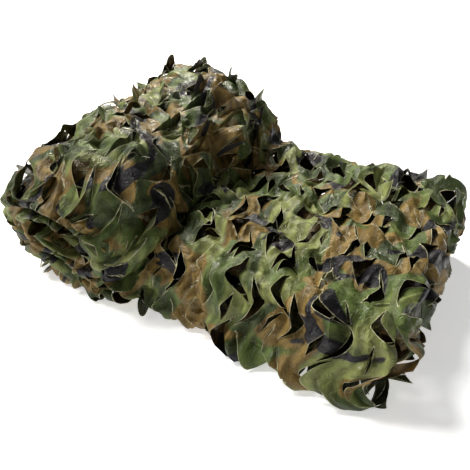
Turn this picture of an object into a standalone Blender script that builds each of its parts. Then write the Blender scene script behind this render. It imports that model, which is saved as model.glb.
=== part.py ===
"""A camouflage net, folded into a thick band and rolled loosely from one end.

The net is one cloth. Its band is a back-and-forth section of four layers, a little apart: one layer lies
on the floor, comes up the near long side and back as the top, and folds down at the far side into two
inner layers. At the left the cloth turns up and over as the outer turn of a loose roll, round a lumpy
core of tighter turns. Hooked leaf slits are cut through the layers that show.

+X runs along the band to its free end, +Y across it, away from the near side, and +Z up. The origin is on
the floor, under the middle of the whole object. All sizes are in metres.
"""

import math

import bpy
import numpy as np

# The folded band.
BAND_WIDTH = 0.350
BAND_HEIGHT = 0.100
BAND_LEFT = -0.100
BAND_RIGHT = 0.256
SHEET = 0.012
LAYER_COUNT = 4
FOOT_RADIUS = 0.012
SHOULDER_RADIUS = 0.040
SIDE_LEAN = 20.0
FLOOR_SETBACK = 0.012
TOP_SETBACK = 0.043
INNER_SETBACK = 0.035
FLOOR_END_REACH = 0.008
CORNER_ROUNDING = 0.065
CORNER_DEPTH = 0.9
END_RAGGED = 0.004
TOP_WAVE = 0.004

# The roll: an oval seen from its end, thinner at the near end than at the far one.
ROLL_CENTRE_X = -0.145
ROLL_HALF_LENGTH = 0.136
ROLL_HEIGHT = 0.194
ROLL_WIDTH = 0.376
ROLL_SKEW = -0.035
ROLL_RISE = 0.10
ROLL_LUMP = 0.004
NEAR_DRAW_IN = 0.30
FAR_DRAW_IN = 0.16
DRAW_IN_START = 0.62
TURN_SHARE = 0.68
TONGUE = 0.045
TONGUE_TAPER = 0.110
FIRST_SLIT = 0.160
TUCK = 0.025
TUCK_TURN = 115.0
TUCK_RADIUS = 0.014
CORE_GAP = 0.010
CORE_INSET = 0.014
CORE_SIZE = 0.98
CORE_BODY_SHARE = 0.94
CORE_RIDGE = 0.0045
CORE_TURNS = 2
CORE_DOME = 0.008

# The leaf slits: cell widths of one repeat along the cloth and across it, and the cells cut out of it.
REPEAT_ALONG = (0.008, 0.017, 0.008, 0.017)
REPEAT_ACROSS = (0.008, 0.016, 0.016, 0.008, 0.022)
SLIT_CELLS = ((0, 0), (1, 0), (0, 1), (2, 3), (1, 3), (2, 2))
LEAF_LIFT = 0.0055
LEAF_SIDES = (1.0, -1.0, 0.5, -0.7)
LEAF_SWAY = 0.004

# The mesh's steps: coarse cells for layers that don't show, and close points along a path.
COARSE_STEP = 0.055
FOLD_STEPS = 5
PATH_STEP = 0.001
CORE_SIDES = 28
CORE_STATIONS = 9
CORE_CAP_RINGS = 8

CLOTH_COLOUR = (0.085, 0.105, 0.045, 1.0)
CLOTH_ROUGHNESS = 0.55


def clear_scene():
    """Remove every object, so that only this model is left."""
    for thing in list(bpy.data.objects):
        bpy.data.objects.remove(thing, do_unlink=True)


def net_material():
    """The printed cloth, in its mean colour."""
    material = bpy.data.materials.new("printed_polyester")
    material.use_nodes = True
    shader = material.node_tree.nodes["Principled BSDF"]
    shader.inputs["Base Color"].default_value = CLOTH_COLOUR
    shader.inputs["Roughness"].default_value = CLOTH_ROUGHNESS
    shader.inputs["Metallic"].default_value = 0.0
    return material


def ripple(position, wavelength, shift=0.0):
    """A sine wave of height 1 along a position in metres; shift is in radians."""
    return np.sin(2.0 * math.pi * position / wavelength + shift)


def path_points(start, heading, rows):
    """Close points along rows of (length, turn in degrees), from a start point and a heading."""
    points = [np.array(start)]
    angle = math.radians(heading)
    for length, turn in rows:
        steps = max(1, round(length / PATH_STEP))
        bend = math.radians(turn) / steps
        for _ in range(steps):
            angle += bend / 2
            points.append(points[-1] + length / steps * np.array([math.cos(angle), math.sin(angle)]))
            angle += bend / 2
    return np.array(points)


def distances(points):
    """The distance along a path of points, at each of them."""
    steps = np.diff(points, axis=0)
    return np.concatenate([[0.0], np.cumsum(np.hypot(steps[:, 0], steps[:, 1]))])


def read_path(points, lines):
    """Places and left-hand normals on a path of points, at the distances in lines."""
    run = distances(points)
    tangent = np.gradient(points, run, axis=0)
    place = np.stack([np.interp(lines, run, points[:, k]) for k in (0, 1)], axis=-1)
    facing = np.stack([np.interp(lines, run, tangent[:, k]) for k in (0, 1)], axis=-1)
    facing /= np.hypot(facing[:, 0], facing[:, 1])[:, None]
    return place, np.stack([-facing[:, 1], facing[:, 0]], axis=-1)


def repeat_lines(start, end, widths):
    """Lines from start to end that follow whole repeats of the cell widths, stretched to fit."""
    repeats = max(1, round((end - start) / sum(widths)))
    lines = np.concatenate([[0.0], np.cumsum(np.tile(widths, repeats))])
    return start + lines * (end - start) / lines[-1]


def even_lines(start, end):
    """Lines from start to end, evenly spaced, about COARSE_STEP apart."""
    return np.linspace(start, end, max(2, round((end - start) / COARSE_STEP) + 1))


def slit_cells(first, last, columns, along_rows):
    """The open cells (row, column) of a sheet whose slits start at row line first and end at last.

    Its row lines step along the band where along_rows is true, and across it where it isn't.
    """
    cells = set()
    for row in range(first + 1, last - 1):
        for column in range(1, columns - 1):
            along, across = (row - first, column) if along_rows else (column, row - first)
            if (along % len(REPEAT_ALONG), across % len(REPEAT_ACROSS)) in SLIT_CELLS:
                cells.add((row, column))
    return cells


def leaf_relief(along, across, line):
    """How far the leaves stand off the sheet: out on the left of each slit line, and in on its right."""
    side = np.array(LEAF_SIDES)[line % len(LEAF_SIDES)]
    return LEAF_LIFT * side * (0.7 + 0.3 * ripple(along, 0.103, 1.0) * ripple(across, 0.146, 1.6))


def sheet_mesh(name, front, back, strides, holes):
    """A closed sheet between two grids of points [row line, column line].

    A row line keeps the column lines that its stride divides, so hidden layers stay coarse. The cells in
    holes are cut through, and walls close every edge.
    """
    row_lines, column_lines = front.shape[:2]
    used = [(row, column) for row in range(row_lines) for column in range(0, column_lines, strides[row])]
    index = {place: number for number, place in enumerate(used)}

    def line(row, first, last):
        return [index[(row, column)] for column in range(first, last + 1, strides[row])]

    upper = []
    for row in range(row_lines - 1):
        span = max(strides[row], strides[row + 1])
        for column in range(0, column_lines - 1, span):
            if (row, column) not in holes:
                end = column + span
                upper.append(line(row, column, end) + line(row + 1, column, end)[::-1])
    edges = {pair for face in upper for pair in zip(face, face[1:] + face[:1])}
    rim = sorted(pair for pair in edges if pair[::-1] not in edges)
    count = len(used)
    lower = [[vertex + count for vertex in reversed(face)] for face in upper]
    walls = [(b, a, a + count, b + count) for a, b in rim]
    mesh = bpy.data.meshes.new(name)
    mesh.from_pydata([front[p] for p in used] + [back[p] for p in used], [], upper + lower + walls)
    return mesh


def band_rows():
    """The band's section as (length, turn): floor, foot, side, shoulder, top, then fold, layer, twice."""
    lean = math.radians(SIDE_LEAN)
    foot_rise = FOOT_RADIUS * (1.0 + math.sin(lean))
    shoulder_rise = SHOULDER_RADIUS * (1.0 - math.sin(lean))
    side = (BAND_HEIGHT - SHEET - foot_rise - shoulder_rise) / math.cos(lean)
    fold = math.pi * (BAND_HEIGHT - SHEET) / (LAYER_COUNT - 1) / 2
    floor = BAND_WIDTH - SHEET - FOOT_RADIUS - FLOOR_SETBACK
    top = floor - TOP_SETBACK
    return (
        (floor, 0.0),
        (FOOT_RADIUS * (math.pi / 2 + lean), -90.0 - SIDE_LEAN),
        (side, 0.0),
        (SHOULDER_RADIUS * (math.pi / 2 - lean), -90.0 + SIDE_LEAN),
        (top, 0.0),
        (fold, -180.0),
        (top - INNER_SETBACK, 0.0),
        (fold, 180.0),
        (top - INNER_SETBACK, 0.0),
    )


def free_end(across, height):
    """Where the free end is on X: further at the floor, less at the near corner, and a little ragged."""
    near = np.clip((CORNER_ROUNDING - BAND_WIDTH / 2 - across) / CORNER_ROUNDING, 0.0, 1.0)
    rounding = CORNER_ROUNDING * CORNER_DEPTH * (1.0 - np.sqrt(1.0 - near**2))
    ragged = END_RAGGED * (ripple(across, 0.076) + ripple(height, 0.052, 1.0))
    return BAND_RIGHT + FLOOR_END_REACH * (1.0 - height / BAND_HEIGHT) + ragged - rounding


def band_mesh():
    """The folded band: its outer layer with slits from the foot to the far fold, the rest plain."""
    rows = band_rows()
    path = path_points((BAND_WIDTH / 2 - SHEET / 2 - FLOOR_SETBACK, SHEET / 2), 180.0, rows)
    marks = np.concatenate([[0.0], np.cumsum([length for length, _ in rows])])
    floor = even_lines(marks[0], marks[1])
    shown = repeat_lines(marks[1], marks[5], REPEAT_ACROSS)
    hidden = (
        np.linspace(marks[5], marks[6], FOLD_STEPS),
        even_lines(marks[6], marks[7]),
        np.linspace(marks[7], marks[8], FOLD_STEPS),
        even_lines(marks[8], marks[9]),
    )
    lines = np.concatenate([floor, shown[1:]] + [part[1:] for part in hidden])
    first = len(floor) - 1
    last = first + len(shown) - 1
    share = repeat_lines(0.0, 1.0, np.array(REPEAT_ALONG) / (BAND_RIGHT - BAND_LEFT))
    columns = np.arange(len(share))[None, :]
    inside = np.array([first < row < last for row in range(len(lines))])[:, None]

    place, normal = read_path(path, lines)
    across = place[:, :1] + 0.0 * columns
    height = place[:, 1:] + 0.0 * columns
    left = BAND_LEFT + ROLL_SKEW * across / ROLL_WIDTH
    along = left + (free_end(across, height) - left) * share
    clear_of_floor = np.clip((height - SHEET) / (BAND_HEIGHT / 3), 0.0, 1.0)
    relief = leaf_relief(along, across, columns) * inside * clear_of_floor
    wave = TOP_WAVE * clear_of_floor * ripple(along, 0.33, 1.0) * ripple(across, 0.42, 1.6)
    sway = LEAF_SWAY * ripple(across, 0.11) * inside

    def side(offset):
        y = across + normal[:, :1] * (offset + relief)
        z = height + normal[:, 1:] * (offset + relief) + wave
        return np.stack([along + sway, y, np.maximum(z, 0.0)], axis=-1)

    strides = [1 if first <= row <= last else len(REPEAT_ALONG) for row in range(len(lines))]
    holes = slit_cells(first, last, columns.size - 1, along_rows=False)
    return sheet_mesh("band", side(SHEET / 2), side(-SHEET / 2), strides, holes)


def roll_oval(turn, shrink):
    """Places on the roll's oval, seen from its end: turn 0 is on the floor, then left, up and over."""
    angle = -math.pi / 2 - 2.0 * math.pi * turn
    x = ROLL_CENTRE_X + (ROLL_HALF_LENGTH - shrink) * np.cos(angle)
    z = ROLL_HEIGHT / 2 + (ROLL_HEIGHT / 2 - shrink) * np.sin(angle)
    return np.stack([x, z], axis=-1)


def roll_shape(section, across):
    """Sections of the plain roll, drawn in at its ends, higher at the far end, lumpy and skewed."""
    x, z = section[..., 0], section[..., 1]
    reach = np.abs(across) / (ROLL_WIDTH / 2)
    end = np.clip((reach - DRAW_IN_START) / (1.0 - DRAW_IN_START), 0.0, 1.0)
    draw_in = np.where(across < 0.0, NEAR_DRAW_IN, FAR_DRAW_IN) * end**2
    rise = ROLL_RISE * across / (ROLL_WIDTH / 2)
    lump = ROLL_LUMP / ROLL_HALF_LENGTH * ripple(across, 0.2, 2.5 * x / ROLL_HALF_LENGTH)
    clear_of_floor = np.clip((z - SHEET) / (ROLL_HEIGHT / 4), 0.0, 1.0)
    scale = 1.0 + clear_of_floor * (rise + lump - draw_in)
    out_x = ROLL_CENTRE_X + (x - ROLL_CENTRE_X) * scale + ROLL_SKEW * across / ROLL_WIDTH
    return np.stack([out_x, across, np.maximum(z * scale, 0.0)], axis=-1)


def turn_mesh():
    """The roll's outer turn: from a tongue in the floor layer, up the left and over, to its tuck."""
    oval = roll_oval(np.linspace(0.0, TURN_SHARE, round(1.0 / PATH_STEP)), SHEET / 2)
    tongue = (BAND_LEFT + TONGUE, SHEET / 2)
    down = oval[-1] - oval[-2]
    arc = TUCK_RADIUS * math.radians(TUCK_TURN)
    tuck = path_points(oval[-1], math.degrees(math.atan2(down[1], down[0])), ((arc, -TUCK_TURN), (TUCK, 0.0)))
    path = np.concatenate([[tongue], oval, tuck[1:]])
    run = distances(path)
    plain = even_lines(0.0, FIRST_SLIT)
    shown = repeat_lines(FIRST_SLIT, run[len(oval)], REPEAT_ALONG)
    tucked = np.linspace(run[len(oval)], run[-1] - TUCK, FOLD_STEPS)
    lines = np.concatenate([plain, shown[1:], tucked[1:], [run[-1]]])
    first = len(plain) - 1
    last = first + len(shown) - 1
    share = repeat_lines(0.0, 1.0, np.array(REPEAT_ACROSS) / ROLL_WIDTH)
    row = np.arange(len(lines))[:, None]
    inside = (row > first) & (row < last)

    place, normal = read_path(path, lines)
    across = ROLL_WIDTH * (share[None, :] - 0.5) + 0.0 * row
    relief = leaf_relief(lines[:, None], across, row - first) * inside
    half = SHEET / 2 * np.clip(0.5 + lines / TONGUE_TAPER / 2, 0.5, 1.0)[:, None]

    def side(sign):
        x = place[:, :1] + normal[:, :1] * (sign * half + relief)
        z = place[:, 1:] + normal[:, 1:] * (sign * half + relief)
        return roll_shape(np.stack([x, z], axis=-1), across)

    strides = [1 if first <= r <= last else len(REPEAT_ACROSS) for r in range(len(lines))]
    holes = slit_cells(first, last, len(share) - 1, along_rows=True)
    return sheet_mesh("turn", side(-1.0), side(1.0), strides, holes)


def core_mesh():
    """The tighter turns inside: a lumpy oval body, with the turns as a spiral ridge on both ends."""
    body = np.linspace(-CORE_BODY_SHARE, CORE_BODY_SHARE, CORE_STATIONS)
    cap = np.linspace(1.0, 0.0, CORE_CAP_RINGS + 1)[:-1]
    size = np.concatenate([cap[::-1], np.ones(CORE_STATIONS), cap])[:, None] * CORE_SIZE
    reach = np.concatenate([-np.ones(CORE_CAP_RINGS), body, np.ones(CORE_CAP_RINGS)])[:, None]
    on_cap = np.abs(reach) == 1.0
    turn = np.arange(CORE_SIDES)[None, :] / CORE_SIDES
    ridge = CORE_RIDGE * np.sin(2.0 * math.pi * (turn + CORE_TURNS * size))
    dome = CORE_DOME * (1.0 - size)
    across = (ROLL_WIDTH / 2 - CORE_INSET) * reach + np.sign(reach) * on_cap * (ridge + dome)
    middle = np.array([ROLL_CENTRE_X, ROLL_HEIGHT / 2])
    section = middle + (roll_oval(turn, SHEET + CORE_GAP) - middle) * size[..., None]
    rings = roll_shape(section, across)
    points = list(rings.reshape(-1, 3))
    around = [(k, (k + 1) % CORE_SIDES) for k in range(CORE_SIDES)]
    last = (len(rings) - 1) * CORE_SIDES
    faces = []
    for base in range(0, last, CORE_SIDES):
        faces += [(base + a, base + b, base + b + CORE_SIDES, base + a + CORE_SIDES) for a, b in around]
    points.append(rings[0].mean(axis=0))
    faces += [(b, a, len(points) - 1) for a, b in around]
    points.append(rings[-1].mean(axis=0))
    faces += [(last + a, last + b, len(points) - 1) for a, b in around]
    mesh = bpy.data.meshes.new("core")
    mesh.from_pydata(points, [], faces)
    return mesh


def centre_on_floor(meshes):
    """Move the meshes together, so that the middle of their box is over the origin."""
    points = np.array([vertex.co for mesh in meshes for vertex in mesh.vertices])
    middle = (points.min(axis=0) + points.max(axis=0)) / 2
    for mesh in meshes:
        for vertex in mesh.vertices:
            vertex.co.x -= middle[0]
            vertex.co.y -= middle[1]


def build_net():
    """Join the band, the roll's outer turn and its core into the one cloth."""
    band, core, turn = band_mesh(), core_mesh(), turn_mesh()
    centre_on_floor([band, core, turn])
    net = bpy.data.objects.new("camouflage_net", band)
    bpy.context.scene.collection.objects.link(net)
    net.data.materials.append(net_material())
    for mesh in (core, turn):
        guide = bpy.data.objects.new(f"{mesh.name}_guide", mesh)
        bpy.context.scene.collection.objects.link(guide)
        guide.hide_render = True
        guide.display_type = "WIRE"
        union = net.modifiers.new(f"join_{mesh.name}", "BOOLEAN")
        union.operation = "UNION"
        union.solver = "EXACT"
        union.object = guide


clear_scene()
build_net()
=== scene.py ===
"""A camouflage net, folded into a band and rolled from one end: its looks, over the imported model.

The cloth is cut with hooked leaf slits, each leaf curls up or down about the line between its slit's two
ends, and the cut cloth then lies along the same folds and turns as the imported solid.
"""

import math

import bpy
import numpy as np
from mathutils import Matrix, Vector
from mathutils.geometry import delaunay_2d_cdt


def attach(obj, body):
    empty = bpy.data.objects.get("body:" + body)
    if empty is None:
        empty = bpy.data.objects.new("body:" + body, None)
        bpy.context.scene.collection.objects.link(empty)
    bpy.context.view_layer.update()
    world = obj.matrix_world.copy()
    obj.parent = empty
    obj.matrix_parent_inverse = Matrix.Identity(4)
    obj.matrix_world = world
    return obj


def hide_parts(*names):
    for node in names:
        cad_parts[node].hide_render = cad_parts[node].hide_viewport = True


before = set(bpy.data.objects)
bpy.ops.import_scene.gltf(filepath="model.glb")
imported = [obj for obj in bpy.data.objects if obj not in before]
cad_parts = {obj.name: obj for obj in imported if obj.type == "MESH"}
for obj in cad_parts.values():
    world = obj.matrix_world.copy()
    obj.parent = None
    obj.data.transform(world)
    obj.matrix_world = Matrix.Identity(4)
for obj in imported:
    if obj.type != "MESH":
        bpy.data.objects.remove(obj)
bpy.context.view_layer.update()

# ---------------------------------------------------------------- camera
# A 35 mm lens on a 36 mm wide sensor, turned 33 degrees from across the band and looking 32 degrees down,
# as worked out from the band's converging edges.
CAMERA_PLACE = (0.306, -0.452, 0.361)
CAMERA_TURN = 32.8
CAMERA_DOWN = 32.0
LENS_MM = 34.85
SENSOR_MM = 36.0
NEAREST = 0.01

camera = bpy.data.objects.new("camera", bpy.data.cameras.new("camera"))
camera.location = CAMERA_PLACE
camera.rotation_euler = (math.radians(90.0 - CAMERA_DOWN), 0.0, math.radians(CAMERA_TURN))
camera.data.lens = LENS_MM
camera.data.sensor_width = SENSOR_MM
camera.data.clip_start = NEAREST
bpy.context.scene.collection.objects.link(camera)
bpy.context.scene.camera = camera


# ---------------------------------------------------------------- floor and light
# White paper that glows a little, so that it stays white to its far edge, and four soft lamps: a key
# behind to the left, one at the left, a weak fill in front, and a wide even one from above.
LAMP_COLOUR = (1.0, 0.96, 0.84)
LAMPS = (
    # name, place, aim, size in metres, watts
    ("key", (-1.05, 1.10, 1.45), (0.05, 0.0, 0.08), 0.45, 43.0),
    ("left", (-1.5, -0.7, 1.5), (0.0, 0.0, 0.08), 0.8, 13.0),
    ("fill", (-0.5, -2.0, 1.5), (0.0, 0.0, 0.08), 1.5, 5.5),
)
SKY_POWER = 1.8
SKY_SPREAD = 14.0
SKY_HEADING = (0.55, 0.10, -0.80)
ROOM_LIGHT = 0.10
FLOOR_HALF = 6.0
FLOOR_LEVEL = -0.0005
PAPER_WHITE = "FFFFFF"
PAPER_GLOW = 0.50
PAPER_ROUGHNESS = 0.9


def linear(code):
    """The linear colour of an sRGB hex code, with alpha 1."""
    channels = [int(code[k : k + 2], 16) / 255 for k in (0, 2, 4)]
    return [c / 12.92 if c <= 0.04045 else ((c + 0.055) / 1.055) ** 2.4 for c in channels] + [1.0]


def node(material, kind, settings=None, inputs=None, links=None):
    """Add a shader node with its settings, input values and links (input to an output socket)."""
    new = material.node_tree.nodes.new(kind)
    for name, value in (settings or {}).items():
        setattr(new, name, value)
    for name, value in (inputs or {}).items():
        new.inputs[name].default_value = value
    for name, socket in (links or {}).items():
        material.node_tree.links.new(socket, new.inputs[name])
    return new


def area_lamp(name, place, aim, size, watts):
    """A square soft lamp at a place, turned towards its aim."""
    lamp = bpy.data.objects.new(name, bpy.data.lights.new(name, "AREA"))
    lamp.data.size = size
    lamp.data.energy = watts
    lamp.data.color = LAMP_COLOUR
    lamp.location = place
    lamp.rotation_euler = (Vector(aim) - Vector(place)).to_track_quat("-Z", "Y").to_euler()
    bpy.context.scene.collection.objects.link(lamp)


floor_mesh = bpy.data.meshes.new("floor")
floor_signs = ((-1, -1), (1, -1), (1, 1), (-1, 1))
floor_corners = [(x * FLOOR_HALF, y * FLOOR_HALF, FLOOR_LEVEL) for x, y in floor_signs]
floor_mesh.from_pydata(floor_corners, [], [(0, 1, 2, 3)])
floor = bpy.data.objects.new("floor", floor_mesh)
bpy.context.scene.collection.objects.link(floor)
paper = bpy.data.materials.new("white_paper")
paper.use_nodes = True
paper_shader = paper.node_tree.nodes["Principled BSDF"]
paper_shader.inputs["Base Color"].default_value = linear(PAPER_WHITE)
paper_shader.inputs["Roughness"].default_value = PAPER_ROUGHNESS
paper_shader.inputs["Emission Color"].default_value = linear(PAPER_WHITE)
paper_shader.inputs["Emission Strength"].default_value = PAPER_GLOW
floor.data.materials.append(paper)

for name, place, aim, size, watts in LAMPS:
    area_lamp(name, place, aim, size, watts)
sky = bpy.data.objects.new("sky", bpy.data.lights.new("sky", "SUN"))
sky.data.energy = SKY_POWER
sky.data.angle = math.radians(SKY_SPREAD)
sky.rotation_euler = Vector(SKY_HEADING).to_track_quat("-Z", "Y").to_euler()
bpy.context.scene.collection.objects.link(sky)
world = bpy.data.worlds.new("studio")
world.use_nodes = True
world.node_tree.nodes["Background"].inputs["Color"].default_value = (1.0, 1.0, 1.0, 1.0)
world.node_tree.nodes["Background"].inputs["Strength"].default_value = ROOM_LIGHT
bpy.context.scene.world = world
bpy.context.scene.view_settings.view_transform = "Standard"

# ---------------------------------------------------------------- printed cloth
# Woven polyester with a thin satin coating, printed in four colours over a green ground and then die-cut.
# The print and the ribs read the cloth's own UV map, in metres, so they follow the cloth round its folds.
MID_GREEN = "546332"
DEEP_GREEN = "3C4726"
SAGE = "7C824B"
TAN = "7D6737"
BLACK = "211F23"
# the cut edge's colour: pale threads of the cut, with a painted highlight of lit cut edges
CUT_EDGE_PALE_AND_LIT = "C2BE98"
REVERSE_MUTE_AND_SHADE = "A0977F"  # the back faces, darker and duller: partly the uncoated back, where the print shows through weakly, partly painted shade of the undersides and the roll's inside
RIB_MM = 16.336  # real ribs are about 0.4 mm, too fine to show: drawn far coarser, as broad soft bands
PRINTS = (
    # colour, noise scale per metre, its own slide, threshold, softness, stretch
    (SAGE, 15.0, 3.1, 0.51, 0.08, (1.0, 0.7, 1.0)),
    (DEEP_GREEN, 17.0, 7.7, 0.57, 0.05, (1.0, 0.8, 1.0)),
    (TAN, 15.0, 1.3, 0.535, 0.014, (1.0, 0.75, 1.0)),
    (BLACK, 19.0, 5.9, 0.63, 0.010, (0.8, 1.1, 1.0)),
)
SLIDE_ACROSS = 1.7  # a print's slide across the cloth, as a share of its slide along it
MOTTLE_SCALE = 75.0  # soft blots about 13 mm wide
WEAR_SCALE = 60.0
CREASE_SCALE = 55.0  # about 18 mm from crease to crease
CRINKLE_SCALE = 210.0  # about 5 mm from crinkle to crinkle
INK_DENSITY = (0.70, 1.24)
RIB_PAINTED_SHADE = (0.70, 1.22)
CUT_PALENESS_AND_HIGHLIGHT = (0.20, 0.95)
RIM_SPAN = (0.62, 0.80)  # rim is 1 at a cut and 0 one face away: the pale line fades in between these
SATIN_ROUGHNESS = (0.30, 0.66)
SATIN_IOR = 1.5
SATIN_SPECULAR = 0.32
BUMP_STRENGTH = 0.9
CRINKLE_DEPTH = 0.0016
CREASE_DEPTH = 0.0022
RIB_DEPTH = 0.0007
SHARE, UNDER, OVER, MIXED = 0, 6, 7, 2  # a colour mix's inputs, and its output


def printed_cloth(name):
    """Print colours over each other, each where a soft noise passes its threshold."""
    cloth = bpy.data.materials.new(name)
    cloth.use_nodes = True
    shader = cloth.node_tree.nodes["Principled BSDF"]
    uv = node(cloth, "ShaderNodeUVMap", {"uv_map": "metres"}).outputs["UV"]
    colour = node(cloth, "ShaderNodeRGB")
    colour.outputs["Color"].default_value = linear(MID_GREEN)
    colour = colour.outputs["Color"]
    for code, scale, slide, threshold, softness, stretch in PRINTS:
        shift = (slide, slide * SLIDE_ACROSS, 0.0)
        place = node(
            cloth,
            "ShaderNodeMapping",
            inputs={"Location": shift, "Scale": stretch},
            links={"Vector": uv},
        )
        noise = node(
            cloth,
            "ShaderNodeTexNoise",
            {"noise_dimensions": "2D"},
            {"Scale": scale, "Detail": 1.8, "Roughness": 0.45, "Distortion": 0.5},
            {"Vector": place.outputs["Vector"]},
        )
        mask = node(
            cloth,
            "ShaderNodeMapRange",
            {"interpolation_type": "SMOOTHSTEP"},
            {"From Min": threshold - softness, "From Max": threshold + softness},
            {"Value": noise.outputs["Fac"]},
        )
        mix = node(
            cloth,
            "ShaderNodeMix",
            {"data_type": "RGBA"},
            {OVER: linear(code)},
            {SHARE: mask.outputs["Result"], UNDER: colour},
        )
        colour = mix.outputs[MIXED]

    # Ink density varies a little, and the cut edge is drawn pale: partly its pale threads, partly a painted
    # highlight of the light that the cut edges catch.
    mottle = node(
        cloth,
        "ShaderNodeTexNoise",
        {"noise_dimensions": "2D"},
        {"Scale": MOTTLE_SCALE, "Detail": 5.0, "Roughness": 0.65},
        {"Vector": uv},
    )
    density = node(
        cloth,
        "ShaderNodeMapRange",
        inputs={"From Min": 0.3, "From Max": 0.7, "To Min": INK_DENSITY[0], "To Max": INK_DENSITY[1]},
        links={"Value": mottle.outputs["Fac"]},
    )
    inked = node(
        cloth,
        "ShaderNodeMix",
        {"data_type": "RGBA", "blend_type": "MULTIPLY"},
        {SHARE: 1.0},
        {UNDER: colour, OVER: density.outputs["Result"]},
    )
    # A wave of scale s repeats every 2 pi / 20 s metres.
    ribs = node(
        cloth,
        "ShaderNodeTexWave",
        {"wave_type": "BANDS", "bands_direction": "X"},
        {"Scale": 2.0 * math.pi * 1000.0 / RIB_MM / 20.0, "Distortion": 1.5, "Detail": 1.0},
        {"Vector": uv},
    )
    # Painted light and shade of the ribs: the colour is lightened and darkened in bands along them, standing
    # in for their sheen.
    rib_painted_shade = node(
        cloth,
        "ShaderNodeMapRange",
        inputs={"To Min": RIB_PAINTED_SHADE[0], "To Max": RIB_PAINTED_SHADE[1]},
        links={"Value": ribs.outputs["Fac"]},
    )
    ribbed = node(
        cloth,
        "ShaderNodeMix",
        {"data_type": "RGBA", "blend_type": "MULTIPLY"},
        {SHARE: 1.0},
        {UNDER: inked.outputs[MIXED], OVER: rib_painted_shade.outputs["Result"]},
    )
    rim = node(cloth, "ShaderNodeAttribute", {"attribute_name": "rim"})
    worn = node(
        cloth,
        "ShaderNodeTexNoise",
        {"noise_dimensions": "2D"},
        {"Scale": WEAR_SCALE, "Detail": 1.0},
        {"Vector": uv},
    )
    rim_pale_and_highlight = node(
        cloth,
        "ShaderNodeMapRange",
        inputs={"From Min": 0.38, "From Max": 0.58, "To Min": CUT_PALENESS_AND_HIGHLIGHT[0], "To Max": CUT_PALENESS_AND_HIGHLIGHT[1]},
        links={"Value": worn.outputs["Fac"]},
    )
    # Painted highlight: a pale line along every cut edge, partly the pale threads and partly the light a
    # raised cut edge catches.
    edge = node(
        cloth,
        "ShaderNodeMapRange",
        inputs={"From Min": RIM_SPAN[0], "From Max": RIM_SPAN[1]},
        links={"Value": rim.outputs["Fac"], "To Max": rim_pale_and_highlight.outputs["Result"]},
    )
    edged_with_highlight = node(
        cloth,
        "ShaderNodeMix",
        {"data_type": "RGBA"},
        {OVER: linear(CUT_EDGE_PALE_AND_LIT)},
        {SHARE: edge.outputs["Result"], UNDER: ribbed.outputs[MIXED]},
    )
    # Painted shade: faces seen from behind are multiplied darker, so the cloth's undersides and the roll's
    # inside read dark.
    side = node(cloth, "ShaderNodeNewGeometry")
    back_muted_and_shaded = node(
        cloth,
        "ShaderNodeMix",
        {"data_type": "RGBA", "blend_type": "MULTIPLY"},
        {OVER: linear(REVERSE_MUTE_AND_SHADE)},
        {SHARE: side.outputs["Backfacing"], UNDER: edged_with_highlight.outputs[MIXED]},
    )
    cloth.node_tree.links.new(back_muted_and_shaded.outputs[MIXED], shader.inputs["Base Color"])

    # Ribs of the weave, and small creases of the stiff coating, as bump and uneven gloss.
    creases = node(
        cloth,
        "ShaderNodeTexNoise",
        {"noise_dimensions": "2D", "noise_type": "RIDGED_MULTIFRACTAL"},
        {"Scale": CREASE_SCALE, "Detail": 4.0, "Roughness": 0.55},
        {"Vector": uv},
    )
    crinkles = node(
        cloth,
        "ShaderNodeTexNoise",
        {"noise_dimensions": "2D"},
        {"Scale": CRINKLE_SCALE, "Detail": 2.0, "Roughness": 0.6, "Distortion": 0.8},
        {"Vector": uv},
    )
    crinkle_bump = node(
        cloth,
        "ShaderNodeBump",
        inputs={"Strength": BUMP_STRENGTH, "Distance": CRINKLE_DEPTH},
        links={"Height": crinkles.outputs["Fac"]},
    )
    crease_bump = node(
        cloth,
        "ShaderNodeBump",
        inputs={"Strength": BUMP_STRENGTH, "Distance": CREASE_DEPTH},
        links={"Height": creases.outputs["Fac"], "Normal": crinkle_bump.outputs["Normal"]},
    )
    rib_bump = node(
        cloth,
        "ShaderNodeBump",
        inputs={"Strength": BUMP_STRENGTH, "Distance": RIB_DEPTH},
        links={"Height": ribs.outputs["Fac"], "Normal": crease_bump.outputs["Normal"]},
    )
    cloth.node_tree.links.new(rib_bump.outputs["Normal"], shader.inputs["Normal"])
    gloss = node(
        cloth,
        "ShaderNodeMapRange",
        inputs={
            "From Min": 0.38,
            "From Max": 0.62,
            "To Min": SATIN_ROUGHNESS[0],
            "To Max": SATIN_ROUGHNESS[1],
        },
        links={"Value": mottle.outputs["Fac"]},
    )
    cloth.node_tree.links.new(gloss.outputs["Result"], shader.inputs["Roughness"])
    shader.inputs["IOR"].default_value = SATIN_IOR
    shader.inputs["Specular IOR Level"].default_value = SATIN_SPECULAR
    return cloth


satin_cloth = printed_cloth("printed_coated_polyester")

# The weave's own filament, undyed, off-white with a soft sheen.
THREAD_DARK = "9C9880"
THREAD_PALE = "DAD8C4"
THREAD_ROUGHNESS = 0.45
bare_thread = bpy.data.materials.new("bare_polyester_thread")
bare_thread.use_nodes = True
patches = node(
    bare_thread,
    "ShaderNodeTexNoise",
    inputs={"Scale": 300.0, "Detail": 2.0},
    links={"Vector": node(bare_thread, "ShaderNodeTexCoord").outputs["Object"]},
)
pale = node(
    bare_thread,
    "ShaderNodeMix",
    {"data_type": "RGBA"},
    {UNDER: linear(THREAD_DARK), OVER: linear(THREAD_PALE)},
    {SHARE: patches.outputs["Fac"]},
)
thread_shader = bare_thread.node_tree.nodes["Principled BSDF"]
bare_thread.node_tree.links.new(pale.outputs[MIXED], thread_shader.inputs["Base Color"])
thread_shader.inputs["Roughness"].default_value = THREAD_ROUGHNESS

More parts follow.
